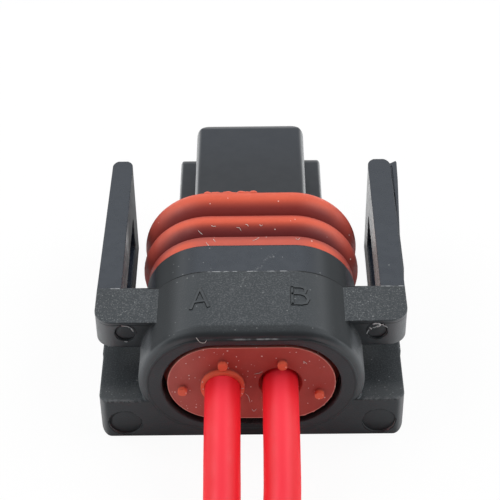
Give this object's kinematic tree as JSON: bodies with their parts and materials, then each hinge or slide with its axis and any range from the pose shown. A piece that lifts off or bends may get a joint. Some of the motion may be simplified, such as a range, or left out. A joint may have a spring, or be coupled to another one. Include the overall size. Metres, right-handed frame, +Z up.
{
  "type": "sealed connector pigtail",
  "caption": "Sealed automotive plug on short red leads: oval body with windowed latch arms, ribbed ring seal, wire seal, crimped terminals and stripped ends.",
  "frame": {"origin": "middle of the plug's underside: on the base plane, halfway between the rear rim and the front of the nose", "axes": "+X across the plug towards cavity B, +Y along the mating direction towards the nose, +Z up from the base"},
  "size_m": [0.0278, 0.1098, 0.0113],
  "materials": {
    "housing_plastic": "dark grey moulded plastic, finely textured behind the parting line and satin in front of it",
    "ring_rubber": "smooth silicone rubber with a dull sheen",
    "mat_rubber": "dull silicone rubber",
    "tinned_strip": "tin-plated copper alloy strip",
    "insulation": "smooth extruded insulation",
    "copper": "bright bare copper",
    "nylon": "natural nylon"
  },
  "bodies": {
    "root": {"housing": "housing_plastic", "ring_seal": "ring_rubber", "wire_seal": "mat_rubber", "terminal_a": "tinned_strip", "terminal_b": "tinned_strip", "wire_a": "insulation", "wire_b": "insulation", "conductor_a": "copper", "conductor_b": "copper", "wire_tie": "nylon"}
  },
  "joints": []
}
